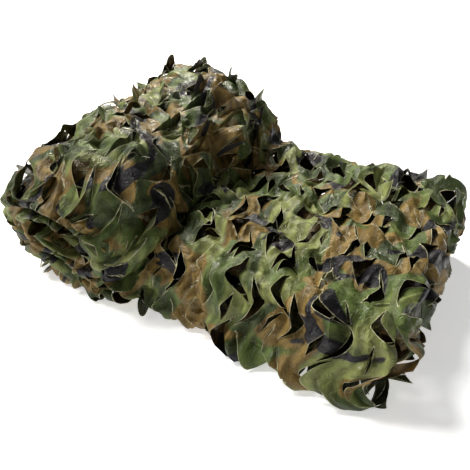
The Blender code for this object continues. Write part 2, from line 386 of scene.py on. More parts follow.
# ---------------------------------------------------------------- folded band
# The net folded over and over across its width, with its folds to the near and far side and its cut ends
# to the right. One repeat of the die holds three hooked slits, of which the first opens to the right.
PITCH_ALONG = 0.050
PITCH_ACROSS = 0.068
SLITS = (
    # corner place, short arm's end and long arm's end from the corner, (along, across) in metres
    ((-0.013, 0.000), (0.012, 0.025), (0.024, -0.026)),
    ((0.025, -0.020), (-0.018, 0.026), (-0.016, -0.033)),
    ((-0.017, 0.036), (0.009, 0.011), (-0.003, -0.016)),
)
CORNER_SHARE = 0.12  # how much of each arm its slit's bend takes up
BEND_POINTS = 9
ROW_SLIDE = 0.008
PLACE_JITTER = 0.0035
ARM_JITTER = 0.14
TURN_JITTER = 0.6
TURN_TRIES = 6
SLIT_GAP = 0.0050
SLIT_REACH = 0.07  # slits further apart than this can't touch
FAR_OFF = 9.9
OUTLINE_STEP = 0.004
LEAF_MARGIN = 0.028
LEAF_BULGE = 1.6  # power of the lift's profile along a slit: higher is fuller
LIP_FADE = 0.026
HINGE_FADE = 0.012
HINGE_SHARE = 0.5
CREASE_SHARE = 0.6
RAG_PITCH = 0.034
RAG_DEPTH = 0.025
CREASE_ANGLE = 24.0


def resample(curve, step):
    """A curve's points again, evenly spaced, about a step apart."""
    run = np.concatenate([[0.0], np.cumsum(np.linalg.norm(np.diff(curve, axis=0), axis=1))])
    places = np.linspace(0.0, run[-1], max(4, round(run[-1] / step) + 1))
    return np.stack([np.interp(places, run, curve[:, k]) for k in (0, 1)], axis=-1)


def leaf_slits(length, width, seed, most_turn=TURN_JITTER):
    """Slit curves over a flat cloth, as arrays of (along, across), in the order of SLITS in each repeat.

    Each is two straight arms with a quadratic bend between them, turned a little at random where that
    keeps it clear of the earlier ones. It runs so that its leaf lies on its left.
    """
    random = np.random.default_rng(seed)
    curves, outlines = [], []
    for row in range(-1, int(width / PITCH_ACROSS) + 3):
        slide = random.uniform(-ROW_SLIDE, ROW_SLIDE)
        for column in range(-2, int(length / PITCH_ALONG) + 3):
            for corner, short, long in SLITS:
                middle = np.array([column * PITCH_ALONG + slide, row * PITCH_ACROSS]) + corner
                middle = middle + random.uniform(-PLACE_JITTER, PLACE_JITTER, 2)
                close = [outline for place, outline in outlines if np.abs(place - middle).max() < SLIT_REACH]
                close = np.concatenate([np.full((1, 2), FAR_OFF)] + close)
                for remaining in np.linspace(1.0, 0.0, TURN_TRIES):
                    arms = np.array([short, long]) * random.uniform(1 - ARM_JITTER, 1 + ARM_JITTER, (2, 1))
                    turn = random.uniform(-most_turn, most_turn) * remaining
                    arms = arms @ [[math.cos(turn), math.sin(turn)], [-math.sin(turn), math.cos(turn)]]
                    ends = middle + arms
                    near = middle + CORNER_SHARE * arms
                    t = np.linspace(0.0, 1.0, BEND_POINTS)[:, None]
                    bend = (1 - t) ** 2 * near[0] + 2 * t * (1 - t) * middle + t**2 * near[1]
                    curve = np.concatenate([ends[:1], bend, ends[1:]])
                    outline = resample(np.concatenate([curve, ends[:1]]), OUTLINE_STEP)
                    if np.linalg.norm(outline[:, None] - close[None], axis=-1).min() > SLIT_GAP:
                        break
                outlines.append((middle, outline))
                chord, offset = ends[1] - ends[0], middle - ends[0]
                leaf_on_left = chord[0] * offset[1] - chord[1] * offset[0] < 0
                curves.append(curve if leaf_on_left else curve[::-1])
    return curves


TOOTH_JITTER = 0.3
TOOTH_TIP = 0.1
TOOTH_DEPTHS = (0.4, 1.0)


def ragged_line(width, seed, most):
    """How far a cut end is eaten away at each place across: uneven teeth, as (across, depth) corners."""
    random = np.random.default_rng(seed)
    count = int(width / RAG_PITCH * 2)
    places = np.linspace(0.0, width, count + 1)
    places[1:-1] += random.uniform(-TOOTH_JITTER, TOOTH_JITTER, count - 1) * RAG_PITCH / 2
    depths = np.where(np.arange(count + 1) % 2, 1.0, TOOTH_TIP) * random.uniform(*TOOTH_DEPTHS, count + 1)
    return places, depths * most


# Shares of a triangle's edge, for the points that the cloth's mesh is drawn from.
ROW_SHARE = 0.87
GRID_JITTER = 0.2
GRID_MARGIN = 0.6
CUT_CLEARANCE = 0.55
BORDER_STEP = 1.6
SLIT_STEP = 0.9
BORDER_MARGIN = 1.5

SEARCH_PIECE = 12  # segments of a cut that are compared with the grid at a time
ON_SLIT = 1e-5
SAME_POINT = 1e-7


def cut_cloth(length, width, zones, curves, ragged, seed):
    """Triangles over a flat cloth with its slits cut open and its ragged ends trimmed.

    zones are (edge, test of along and across) from fine to coarse, and ragged holds, for the along = 0
    and the along = length ends, the trim line or None. Returns the points, the triangles and, for each
    point, the slit on whose outer lip it lies and the slit on whose leaf it lies (or -1), and the numbers
    of the slits that are cut.
    """
    random = np.random.default_rng(seed)
    fine = zones[0][0]

    def trim(points):
        kept = np.ones(len(points), bool)
        if ragged[0] is not None:
            kept &= points[:, 0] > np.interp(points[:, 1], *ragged[0])
        if ragged[1] is not None:
            kept &= points[:, 0] < length - np.interp(points[:, 1], *ragged[1])
        return kept

    sets = []
    taken = []
    for edge, test in zones:
        columns, rows = max(3, round(length / edge)), max(3, round(width / (edge * ROW_SHARE)))
        a, b = np.meshgrid(np.linspace(0, length, columns + 1), np.linspace(0, width, rows + 1))
        a[1::2] += 0.5 * length / columns
        grid = np.stack([a.ravel(), b.ravel()], axis=-1)
        grid += random.uniform(-GRID_JITTER, GRID_JITTER, grid.shape) * edge
        here = test(grid[:, 0], grid[:, 1])
        for earlier in taken:
            here &= ~earlier(grid[:, 0], grid[:, 1])
        taken.append(test)
        inner = (grid > edge * GRID_MARGIN).all(axis=1)
        inner &= (grid < np.array([length, width]) - edge * GRID_MARGIN).all(axis=1)
        sets.append(grid[here & inner])
    grid = np.concatenate(sets)

    lines = []
    for line in (ragged[0], ragged[1]):
        if line is not None:
            depth = np.interp(np.arange(0, width + fine / 2, fine), *line)
            side = np.stack([depth, np.linspace(0, width, len(depth))], axis=-1)
            if line is ragged[1]:
                side[:, 0] = length - side[:, 0]
            lines.append(side)
    margin = fine * BORDER_MARGIN
    kept_cuts = []  # (curve, hinge line, slit number), without a hinge line where a cut end crosses the slit
    for number, curve in enumerate(curves):
        curve = resample(curve, fine * SLIT_STEP)
        inside = trim(curve)
        if (curve > margin).all() and (curve < np.array([length, width]) - margin).all():
            if inside.all():
                kept_cuts.append((curve, resample(curve[[0, -1]], fine)[1:-1], number))
            elif inside[0] or inside[-1]:
                kept_cuts.append((curve, None, number))

    keep = np.ones(len(grid), bool)
    cuts = [line for curve, chord, _ in kept_cuts for line in (curve, chord) if line is not None]
    for curve in lines + cuts:
        for start in range(0, len(curve), SEARCH_PIECE):
            piece = curve[start : start + SEARCH_PIECE + 1]
            low, high = piece.min(axis=0) - fine, piece.max(axis=0) + fine
            close = np.flatnonzero(((grid > low) & (grid < high)).all(axis=1))
            if len(close):
                gap = np.linalg.norm(grid[close][:, None] - piece[None], axis=-1).min(axis=1)
                keep[close[gap < fine * CUT_CLEARANCE]] = False
    points = list(map(tuple, grid[keep]))
    for a, b in ((0.0, None), (length, None), (None, 0.0), (None, width)):
        span = width if a is not None else length
        places = np.linspace(0.0, span, max(2, round(span / (fine * BORDER_STEP))) + 1)
        places = places if a is not None else places[1:-1]
        points += [((a, p) if a is not None else (p, b)) for p in places]
    constraints, owners = [], []
    for curve in lines:
        first = len(points)
        points += list(map(tuple, curve[1:-1]))
        constraints += [(first + k, first + k + 1) for k in range(len(curve) - 3)]
    for curve, chord, number in kept_cuts:
        first = len(points)
        points += list(map(tuple, curve))
        constraints += [(first + k, first + k + 1) for k in range(len(curve) - 1)]
        owners.append((first, len(curve), chord is None, number))
        if chord is not None:
            hinge = [first] + [len(points) + k for k in range(len(chord))] + [first + len(curve) - 1]
            points += list(map(tuple, chord))
            constraints += list(zip(hinge[:-1], hinge[1:]))
    corners = [Vector(point) for point in points]
    out, _, faces, origin, _, _ = delaunay_2d_cdt(corners, constraints, [], 0, SAME_POINT)
    place = np.array([tuple(p) for p in out])
    faces = np.array(faces)
    faces = faces[trim(place[faces].mean(axis=1))]
    new_index = np.zeros(len(points), int)
    for k, sources in enumerate(origin):
        new_index[sources] = k
    added = np.array([k for k, sources in enumerate(origin) if not sources], int)

    before = np.full(len(place), -1)
    after = np.full(len(place), -1)
    slit_of = np.full(len(place), -1)
    for first, count, crossed, number in owners:
        chain = new_index[first : first + count]
        if crossed:  # the points where the cut end meets the slit join its chain
            start, step = place[chain[:-1]], np.diff(place[chain], axis=0)
            share = ((place[added][:, None] - start) * step).sum(axis=-1) / (step**2).sum(axis=-1)
            gap = np.linalg.norm(place[added][:, None] - start - share[..., None] * step, axis=-1)
            new, segment = np.nonzero((gap < ON_SLIT) & (share > 0) & (share < 1))
            order = np.lexsort((share[new, segment], segment))
            chain = np.insert(chain, segment[order] + 1, added[new[order]])
        before[chain[1:-1]] = chain[:-2]
        after[chain[1:-1]] = chain[2:]
        slit_of[chain[1:-1]] = number
    copies = np.flatnonzero(after >= 0)
    copy_of = np.full(len(place), -1)
    copy_of[copies] = len(place) + np.arange(len(copies))
    middle = place[faces].mean(axis=1)

    def bearing(step):
        return np.arctan2(step[:, 1], step[:, 0])

    # A slit's points are split in two: the triangles on its outer side get the copies.
    for corner in range(3):
        here = faces[:, corner].copy()
        on_slit = np.flatnonzero(after[here] >= 0)
        spot = here[on_slit]
        ahead = bearing(place[after[spot]] - place[spot])
        back = (bearing(place[before[spot]] - place[spot]) - ahead) % (2 * math.pi)
        turn = (bearing(middle[on_slit] - place[spot]) - ahead) % (2 * math.pi)
        outer = on_slit[turn > back]
        faces[outer, corner] = copy_of[here[outer]]
    place = np.concatenate([place, place[copies]])
    lip = np.concatenate([np.full(len(out), -1), slit_of[copies]])
    leaf = np.concatenate([slit_of, np.full(len(copies), -1)])
    used = np.unique(faces)
    compact = np.full(len(place), -1)
    compact[used] = np.arange(len(used))
    return place[used], compact[faces], lip[used], leaf[used], [number for _, _, number in kept_cuts]


def curl_leaves(place, lip, leaf, curves, numbers, curls, opening, lip_rise):
    """Curl each leaf about the line of its slit's ends, and lift the lip outside it.

    A leaf of depth d is creased at that line by a share of its curl, and bends evenly by the rest, so its
    slope's angle is crease + curvature * distance, and its rise and reach are the sums of that angle's
    sine and cosine. The lip outside and the cloth behind the line go the other way, and fade. Returns the
    moved points and their heights over the cloth.
    """
    moved = place.copy()
    height = np.zeros(len(place))
    for number in numbers:
        curve = curves[number]
        start, end = curve[0], curve[-1]
        chord = np.linalg.norm(end - start)
        along = (end - start) / chord
        out = np.array([along[1], -along[0]])
        curve_s, curve_d = (curve - start) @ along, (curve - start) @ out
        depth = curve_d.max()
        low, high = curve.min(axis=0) - LEAF_MARGIN, curve.max(axis=0) + LEAF_MARGIN
        near = np.flatnonzero(((place > low) & (place < high)).all(axis=1))
        s, d = (place[near] - start) @ along, (place[near] - start) @ out
        order = np.argsort(curve_s)
        edge_d = np.interp(s, curve_s[order], curve_d[order], left=0.0, right=0.0)
        profile = 1.0 - np.abs(2.0 * np.clip(s / chord, 0.0, 1.0) - 1.0) ** LEAF_BULGE
        is_leaf = (d > 0) & (d < edge_d + 1e-6) & (s > 0) & (s < chord) & (lip[near] != number)
        is_leaf |= leaf[near] == number
        crease = curls[number] * CREASE_SHARE
        curvature = (curls[number] - crease) / depth
        bend = crease + curvature * np.clip(d, 0.0, None)
        rise = np.where(is_leaf, (math.cos(crease) - np.cos(bend)) / curvature, 0.0)
        reach = np.where(is_leaf, (np.sin(bend) - math.sin(crease)) / curvature - d, 0.0)
        beyond = np.clip(d - edge_d, 0.0, None)
        fade = np.where(~is_leaf & (d > 0), profile * np.clip(1.0 - beyond / LIP_FADE, 0.0, 1.0), 0.0)
        behind = np.where(d <= 0, profile * np.clip(1.0 + d / HINGE_FADE, 0.0, 1.0), 0.0)
        behind = np.where(is_leaf, profile * np.clip(1.0 - d / depth, 0.0, 1.0), behind)
        moved[near] += (reach + fade * opening[number])[:, None] * out
        height[near] += rise + fade * lip_rise[number] + behind * lip_rise[number] * HINGE_SHARE
    return moved, height


WARP_SHARE = 0.35
WARP_LONGEST = 4
WARP_SHORTEST = 2
WARP_WAVES = 5
GRID_START = 50.0  # in cells: keeps every cell's number above zero


def crumple(place, seed, size, longest, shortest, count):
    """Soft creases: waves of mixed lengths and bearings, half of them with sharp crests."""
    random = np.random.default_rng(seed)
    total = np.zeros(len(place))
    for _ in range(count):
        bearing = random.uniform(0.0, math.pi)
        wavelength = random.uniform(shortest, longest)
        phase = place @ np.array([math.cos(bearing), math.sin(bearing)]) * 2 * math.pi / wavelength
        wave = np.sin(phase + random.uniform(0.0, 6.28))
        sharp = random.random() < 0.5
        total += (1 - 2 * np.abs(wave) if sharp else wave) * wavelength
    return total * size / total.std() / 2


def facets(place, seed, size, spacing):
    """Sharp flat creases of a stiff cloth: heights at random over a warped grid, flat in between.

    Each grid cell is two triangles, and a point's height is linear within its triangle.
    """
    random = np.random.default_rng(seed)
    size_of_warp, longest, shortest = spacing * WARP_SHARE, spacing * WARP_LONGEST, spacing * WARP_SHORTEST
    warp = [crumple(place, seed + k, size_of_warp, longest, shortest, WARP_WAVES) for k in (1, 2)]
    spot = (place + np.stack(warp, axis=-1)) / spacing + GRID_START
    cell = np.floor(spot).astype(int)
    part = spot - cell
    tall = random.normal(size=(cell.max() + 3, cell.max() + 3))
    a, b = cell[:, 0], cell[:, 1]
    upper = part.sum(axis=1) > 1.0
    u, v = np.where(upper, 1.0 - part[:, 0], part[:, 0]), np.where(upper, 1.0 - part[:, 1], part[:, 1])
    corner = np.where(upper, tall[a + 1, b + 1], tall[a, b])
    to_a = np.where(upper, tall[a, b + 1], tall[a + 1, b])
    to_b = np.where(upper, tall[a + 1, b], tall[a, b + 1])
    return size * (corner + u * (to_a - corner) + v * (to_b - corner))


def ripple(position, wavelength, shift=0.0):
    """A sine along a position."""
    return np.sin(2 * math.pi * position / wavelength + shift)


PATH_STEP = 0.001


def path_points(start, heading, rows):
    """Points along a path of (length, turn) rows from a start and a heading in degrees.

    A row's turn is shared evenly by its steps, and each step points along the mean of its two headings.
    """
    counts = [max(1, math.ceil(length / PATH_STEP)) for length, _ in rows]
    lengths = np.concatenate([np.full(count, length / count) for count, (length, _) in zip(counts, rows)])
    turns = np.concatenate([np.full(count, turn / count) for count, (_, turn) in zip(counts, rows)])
    angle = np.radians(heading + np.cumsum(turns) - turns / 2)
    steps = np.stack([np.cos(angle), np.sin(angle)], axis=-1) * lengths[:, None]
    return np.concatenate([[start], start + np.cumsum(steps, axis=0)])


def read_path(points, distance):
    """Where a path is at each distance along it, and its left-hand normal there."""
    steps = np.diff(points, axis=0)
    run = np.concatenate([[0.0], np.cumsum(np.linalg.norm(steps, axis=1))])
    tangent = np.gradient(points, run, axis=0)
    place = np.stack([np.interp(distance, run, points[:, k]) for k in (0, 1)], axis=-1)
    ahead = np.stack([np.interp(distance, run, tangent[:, k]) for k in (0, 1)], axis=-1)
    ahead /= np.linalg.norm(ahead, axis=1)[:, None]
    return place, np.stack([-ahead[:, 1], ahead[:, 0]], axis=-1)


def build_sheet(name, points, faces, flat_place, rim, outward):
    """A mesh object of the cloth, smooth, with its UV map in metres and its cut edges marked.

    The faces are turned round if most of them face against the outward directions.
    """
    corners = points[faces]
    normal = np.cross(corners[:, 1] - corners[:, 0], corners[:, 2] - corners[:, 0])
    if (normal * outward[faces[:, 0]]).sum() < 0:
        faces = faces[:, ::-1]
    mesh = bpy.data.meshes.new(name)
    mesh.from_pydata(points, [], faces)
    uv = mesh.uv_layers.new(name="metres")
    uv.data.foreach_set("uv", flat_place[faces.ravel()].ravel())
    attribute = mesh.attributes.new("rim", "FLOAT", "POINT")
    attribute.data.foreach_set("value", rim)
    mesh.shade_smooth()
    mesh.set_sharp_from_angle(angle=math.radians(CREASE_ANGLE))
    mesh.materials.append(satin_cloth)
    piece = bpy.data.objects.new(name, mesh)
    bpy.context.scene.collection.objects.link(piece)
    return piece


def rim_marks(place, faces):
    """1 on every cut edge of the cloth and 0 elsewhere: an edge with one face is a cut one."""
    edges = np.sort(np.concatenate([faces[:, [0, 1]], faces[:, [1, 2]], faces[:, [2, 0]]]), axis=1)
    unique, counts = np.unique(edges, axis=0, return_counts=True)
    rim = np.zeros(len(place))
    rim[unique[counts == 1].ravel()] = 1.0
    return rim


THREAD_GROUPS = 8
THREADS_EACH = 3
THREAD_RADIUS = 0.0003
THREAD_POINTS = 16
THREAD_SIDES = 5
THREAD_TURN = (0.12, 0.45)  # radians a step
THREAD_STEP = (0.0010, 0.0018)
THREAD_SPREAD = 0.0008
THREAD_PULL = 0.5  # how much a thread sets off along the cloth's normal
UPWARDS = 0.3  # the least upward part of the normal where threads grow


def frayed_threads(name, sheet, lowest, seed):
    """Loose ends of the weave that curl out of a sheet's upper cut edges in little groups, as one mesh.

    Each is a thin tube along a curve that turns by the same angle at every step, about its own axis.
    """
    random = np.random.default_rng(seed)
    vertices = sheet.data.vertices
    spots, normals, rim = np.zeros(3 * len(vertices)), np.zeros(3 * len(vertices)), np.zeros(len(vertices))
    vertices.foreach_get("co", spots)
    vertices.foreach_get("normal", normals)
    sheet.data.attributes["rim"].data.foreach_get("value", rim)
    spots, normals = spots.reshape(-1, 3), normals.reshape(-1, 3)
    allowed = np.flatnonzero((rim > 0.5) & (spots[:, 2] > lowest) & (normals[:, 2] > UPWARDS))
    points, faces = [], []
    for start in np.repeat(random.choice(allowed, THREAD_GROUPS), THREADS_EACH):
        heading = normals[start] * THREAD_PULL + random.normal(size=3)
        heading /= np.linalg.norm(heading)
        axis = random.normal(size=3)
        axis /= np.linalg.norm(axis)
        turn = random.uniform(*THREAD_TURN)
        step = random.uniform(*THREAD_STEP)
        path = [spots[start] + random.normal(size=3) * THREAD_SPREAD]
        for _ in range(THREAD_POINTS - 1):
            along_axis = axis * (axis @ heading) * (1 - math.cos(turn))
            heading = heading * math.cos(turn) + np.cross(axis, heading) * math.sin(turn) + along_axis
            path.append(path[-1] + heading * step)
        ahead = np.gradient(np.array(path), axis=0)
        side = np.cross(ahead, axis)
        side /= np.linalg.norm(side, axis=1)[:, None]
        up = np.cross(ahead, side)
        up /= np.linalg.norm(up, axis=1)[:, None]
        angle = np.arange(THREAD_SIDES) * 2 * math.pi / THREAD_SIDES
        ring = np.cos(angle)[None, :, None] * side[:, None] + np.sin(angle)[None, :, None] * up[:, None]
        first = len(points) * THREAD_POINTS * THREAD_SIDES
        points.append((np.array(path)[:, None] + THREAD_RADIUS * ring).reshape(-1, 3))
        row, k = np.meshgrid(np.arange(THREAD_POINTS - 1), np.arange(THREAD_SIDES), indexing="ij")
        here, after = first + row * THREAD_SIDES + k, first + row * THREAD_SIDES + (k + 1) % THREAD_SIDES
        quads = np.stack([here, after, after + THREAD_SIDES, here + THREAD_SIDES], axis=-1)
        faces += quads.reshape(-1, 4).tolist()
        last = first + (THREAD_POINTS - 1) * THREAD_SIDES
        faces.append(list(range(first + THREAD_SIDES - 1, first - 1, -1)))
        faces.append(list(range(last, last + THREAD_SIDES)))
    mesh = bpy.data.meshes.new(name)
    mesh.from_pydata(np.concatenate(points), [], faces)
    mesh.shade_smooth()
    mesh.materials.append(bare_thread)
    piece = bpy.data.objects.new(name, mesh)
    bpy.context.scene.collection.objects.link(piece)
    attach(piece, "root")
    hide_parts("camouflage_net")
    return piece


CENTRING = 0.0151151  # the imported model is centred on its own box
BAND_WIDTH = 0.350
BAND_HEIGHT = 0.100
BAND_LEFT = -0.100
BAND_RIGHT = 0.256
LAYER = 0.012
FOOT_RADIUS = 0.012
SHOULDER_RADIUS = 0.040
SIDE_LEAN = 20.0
FLOOR_SETBACK = 0.012
TOP_SETBACK = 0.043
INNER_SETBACK = 0.035
ROLL_WIDTH = 0.376  # along y
ROLL_SKEW = -0.035  # how much the roll's far end lies further to the left
BAND_FINE = 0.0026
BAND_MIDDLE = 0.0050
BAND_COARSE = 0.0090
BAND_SPARE = 0.055  # cloth past the band's right end, that bends over it
BAND_LENGTH = BAND_RIGHT - BAND_LEFT + BAND_SPARE
UNSEEN_LEFT = 0.05  # cloth at the band's left end, under the roll
END_SHOWN = 0.10
DROOP_START = 0.018
DROOP_ANGLE = 1.35
FAR_FULLNESS = 0.018
FAR_SPREAD = 0.06
CORNER_RUN = 0.045
CORNER_CUT = 0.032
FAR_CUT = 0.016
FAR_CUT_START = 0.10
FAR_CUT_RUN = 0.075
FOOT_SPREAD = 0.008
END_RIPPLE = 0.004
END_RIPPLE_ACROSS = 0.076
END_RIPPLE_UP = 0.052
NEAR_BULGE = 0.010
BULGE_PLACES = (0.19, -0.05)
BULGE_SPREAD = 0.06
TOP_WAVE = 0.004
TOP_WAVE_ALONG = 0.33
TOP_WAVE_ACROSS = 0.42
LOWEST_CLOTH = 0.0008

# Curls of the leaves, in radians: plus lifts a leaf outwards, and minus tucks it in. The leaves that open
# to the right tuck in, and a share of all leaves is swapped round.
OPEN_RIGHT_CURL = (0.15, 0.7)
OTHER_CURL = (-0.5, 0.6)
SWAPPED = 0.15
NEAR_SIDE_CURL = (0.3, 0.9)
NEAR_SIDE_IN = 0.35
FAR_EDGE_CURL = (0.5, 1.2)
FLAT_CURL = 0.1  # of the leaves that can't be seen
BAND_OPENING = (0.003, 0.006)
BAND_LIP_UP = (0.006, 0.014)
BAND_LIP_DOWN = (0.003, 0.008)
BAND_SMALL_FACETS = (0.0021, 0.013)  # height and spacing, as for the other facets
BAND_BROAD_FACETS = (0.0045, 0.031)
BAND_SINK = 0.004
BAND_THREADS_ABOVE = 0.06

lean = math.radians(SIDE_LEAN)
foot_rise = FOOT_RADIUS * (1.0 + math.sin(lean))
shoulder_rise = SHOULDER_RADIUS * (1.0 - math.sin(lean))
side_run = (BAND_HEIGHT - LAYER - foot_rise - shoulder_rise) / math.cos(lean)
fold_run = math.pi * (BAND_HEIGHT - LAYER) / 3 / 2  # half a circle over one of the three gaps
floor_run = BAND_WIDTH - LAYER - FOOT_RADIUS - FLOOR_SETBACK
top_run = floor_run - TOP_SETBACK
inner_run = top_run - INNER_SETBACK
band_rows = (
    (floor_run, 0.0),
    (FOOT_RADIUS * (math.pi / 2 + lean), -90.0 - SIDE_LEAN),
    (side_run, 0.0),
    (SHOULDER_RADIUS * (math.pi / 2 - lean), -90.0 + SIDE_LEAN),
    (top_run, 0.0),
    (fold_run, -180.0),
    (inner_run, 0.0),
    (fold_run, 180.0),
    (inner_run, 0.0),
)
band_marks = np.concatenate([[0.0], np.cumsum([length for length, _ in band_rows])])
far_floor, foot, foot_end, shoulder, top = band_marks[:5]
top_end, far_fold_end, inner_end, inner_fold_end, band_width = band_marks[5:]
band_path = path_points(np.array([BAND_WIDTH / 2 - LAYER / 2 - FLOOR_SETBACK, LAYER / 2]), 180.0, band_rows)

curves = leaf_slits(BAND_LENGTH, band_width, 11)
end_line = ragged_line(band_width, 12, RAG_DEPTH)
trimmed_off = (
    # distance round the band, how much of the spare cloth is cut off there
    (far_floor, 0.055),
    (foot - 0.08, 0.050),
    (foot, 0.040),
    (foot_end, 0.022),
    (shoulder, 0.0),
    (far_fold_end, 0.0),
    (inner_end, 0.006),
    (inner_fold_end, 0.030),
    (band_width, 0.034),
)
end_line = (end_line[0], end_line[1] + np.interp(end_line[0], *zip(*trimmed_off)))
shown = (foot - 0.02, far_fold_end)
zones = (
    (BAND_FINE, lambda a, b: (b > shown[0]) & (b < shown[1]) & (a > UNSEEN_LEFT)),
    (BAND_MIDDLE, lambda a, b: a > BAND_LENGTH - END_SHOWN),
    (BAND_COARSE, lambda a, b: a > -1),
)
place, faces, lip, leaf, numbers = cut_cloth(
    BAND_LENGTH, band_width, zones, curves, (None, end_line), 13
)
random = np.random.default_rng(14)
count = len(curves)
round_band = np.array([curve[:, 1].mean() for curve in curves])
open_right = np.arange(count) % len(SLITS) == 0
curls = np.where(open_right, -random.uniform(*OPEN_RIGHT_CURL, count), random.uniform(*OTHER_CURL, count))
curls = np.where(random.random(count) < SWAPPED, -curls, curls)
near_curls = np.sign(random.random(count) - NEAR_SIDE_IN) * random.uniform(*NEAR_SIDE_CURL, count)
curls = np.where(round_band < top + 0.01, near_curls, curls)
far_edge = (round_band > top_end - 0.05) & (round_band < far_fold_end)
curls = np.where(far_edge, random.uniform(*FAR_EDGE_CURL, count), curls)
opening = random.uniform(*BAND_OPENING, count)
lip_rise = np.where(curls < 0, random.uniform(*BAND_LIP_UP, count), -random.uniform(*BAND_LIP_DOWN, count))
lying = (round_band < shown[0]) | (round_band > top_end + 0.02)
curls = np.where(lying, FLAT_CURL, curls)
opening = np.where(lying, 0.0, opening)
lip_rise = np.where(lying, 0.0, lip_rise)
moved, height = curl_leaves(place, lip, leaf, curves, numbers, curls, opening, lip_rise)
far_middle, inner_middle = (top_end + far_fold_end) / 2, (inner_end + inner_fold_end) / 2
fullness = np.exp(-(((moved[:, 1] - far_middle) / FAR_SPREAD) ** 2))
height += FAR_FULLNESS * fullness * (moved[:, 1] < far_fold_end)
small, broad = facets(place, 15, *BAND_SMALL_FACETS), facets(place, 17, *BAND_BROAD_FACETS)
height += small + broad - BAND_SINK

section, normal = read_path(band_path, np.clip(moved[:, 1], 0.0, band_width))
across, level = section[:, 0], section[:, 1]
left = BAND_LEFT + ROLL_SKEW * across / ROLL_WIDTH
corner = np.clip((CORNER_RUN - BAND_WIDTH / 2 - across) / CORNER_RUN, 0.0, 1.0)
waves = ripple(across, END_RIPPLE_ACROSS) + ripple(level, END_RIPPLE_UP, 1.0)
right = BAND_RIGHT + FOOT_SPREAD * (1 - level / BAND_HEIGHT) + END_RIPPLE * waves
far_corner = np.clip((across - FAR_CUT_START) / FAR_CUT_RUN, 0.0, 1.0)
right -= CORNER_CUT * (1 - np.sqrt(1 - corner**2)) + FAR_CUT * far_corner
run = moved[:, 0] * (right - left) / (BAND_RIGHT - BAND_LEFT)

# Past its right end the cloth bends over the end: the sides inwards and the layers down.
turn_over = (
    # distance round the band, share inwards along y, share down, radius of the bend
    (far_floor, 0.0, 0.0, 0.030),
    (foot - 0.04, 0.0, 0.0, 0.030),
    (foot, 0.8, 0.0, 0.024),
    (foot_end, 1.0, 0.0, 0.024),
    (shoulder, 1.0, 0.0, 0.030),
    (top, 0.0, 1.0, 0.026),
    (top_end, 0.0, 1.0, 0.022),
    (far_middle, -0.8, 0.6, 0.022),
    (far_fold_end, 0.0, 1.0, 0.014),
    (inner_end, 0.0, 1.0, 0.014),
    (inner_middle, 0.8, 0.6, 0.014),
    (inner_fold_end, 0.0, 1.0, 0.012),
    (band_width, 0.0, 1.0, 0.012),
)
at, share_in, share_down, radius = map(np.array, zip(*turn_over))
inwards = np.interp(moved[:, 1], at, share_in)
down = np.interp(moved[:, 1], at, share_down)
radius = np.interp(moved[:, 1], at, radius)
past = np.clip(run - (right - left - DROOP_START), 0.0, None) * np.clip(np.abs(inwards) + down, 0.0, 1.0)
bend = np.minimum(past / radius, DROOP_ANGLE)
straight = past - bend * radius
hang = radius * (1 - np.cos(bend)) + straight * math.sin(DROOP_ANGLE)
onward = radius * np.sin(bend) + straight * math.cos(DROOP_ANGLE)
along = np.where(past > 0, right - DROOP_START + onward, left + run) + np.sin(bend) * height
y = across + normal[:, 0] * height * np.cos(bend) + inwards * hang
low_down = np.interp(moved[:, 1], (foot - 0.05, foot, shoulder, top), (0.0, 1.0, 0.6, 0.0))
bulges = [np.exp(-(((along - bulge) / BULGE_SPREAD) ** 2)) for bulge in BULGE_PLACES]
y -= NEAR_BULGE * low_down * (bulges[0] + bulges[1])
clear = np.clip((level - LAYER) / (BAND_HEIGHT / 3), 0.0, 1.0)
wave = TOP_WAVE * clear * ripple(along, TOP_WAVE_ALONG, 1.0) * ripple(across, TOP_WAVE_ACROSS, 1.6)
z = level + normal[:, 1] * height * np.cos(bend) - down * hang + wave
points = np.stack([along + CENTRING, y, z], axis=-1)
points[:, 2] = np.maximum(points[:, 2], LOWEST_CLOTH)
outward = np.stack([0 * y, normal[:, 0], normal[:, 1]], axis=-1)
rim = rim_marks(place, faces)
net_cloth = build_sheet("net_cloth", points, faces, place, rim, outward)
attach(net_cloth, "root")
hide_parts("camouflage_net")
cloth_threads = frayed_threads("net_cloth_threads", net_cloth, BAND_THREADS_ABOVE, 41)

# ---------------------------------------------------------------- roll
# The rest of the net, wound up loosely on the band's left part: the outer turn, with its lifted leaves and
# its two ends folded in. Its leaves are drawn larger than the band's, as they stand out more freely.
ROLL_CENTRE_X = -0.145
ROLL_HALF_LENGTH = 0.136
ROLL_HEIGHT = 0.194
ROLL_RISE = 0.120
ROLL_LUMP = 0.004
NEAR_DRAW_IN = 0.21
FAR_DRAW_IN = 0.05
DRAW_IN_START = 0.62
ROLL_OUTER_TURNS = 1.02
ROLL_TURNS = 3.6
ROLL_FINE = 0.0030
END_EXTRA = 0.046
CAP_START = 0.008
MEAN_RADIUS = 0.11
CAP_HEIGHT = 0.075
ROLL_LEAF = 1.18
ROLL_TURN_JITTER = 1.5
ROLL_RAG_DEPTH = 0.018
ROLL_TAIL = 0.045  # where the outer turn starts on the floor, from the band's left end
ROLL_UNDER = 0.10  # the winding's first stretch, which lies under the roll
ROLL_TURN_MARKS = (0.0, 0.62, 1.5, 2.4, 3.6)
ROLL_SHRINK = (0.0, 0.0, 0.015, 0.038, 0.088)
TURN_STEP = 0.0015  # of a turn
MIDDLE_POINTS = 400
END_POINTS = 100
END_HEADINGS = (3.0, 3.1)
FLAT_ENDS = 0.6
END_LIFT = 0.8
END_FADE_START = 0.12
END_FADE_RUN = 0.09
LOBE_OUT = 0.004
LOBE_DEPTH = 0.006
LOBE_HEIGHT = 0.085
LOBE_FADE = 0.02
LUMP_LENGTH = 0.2
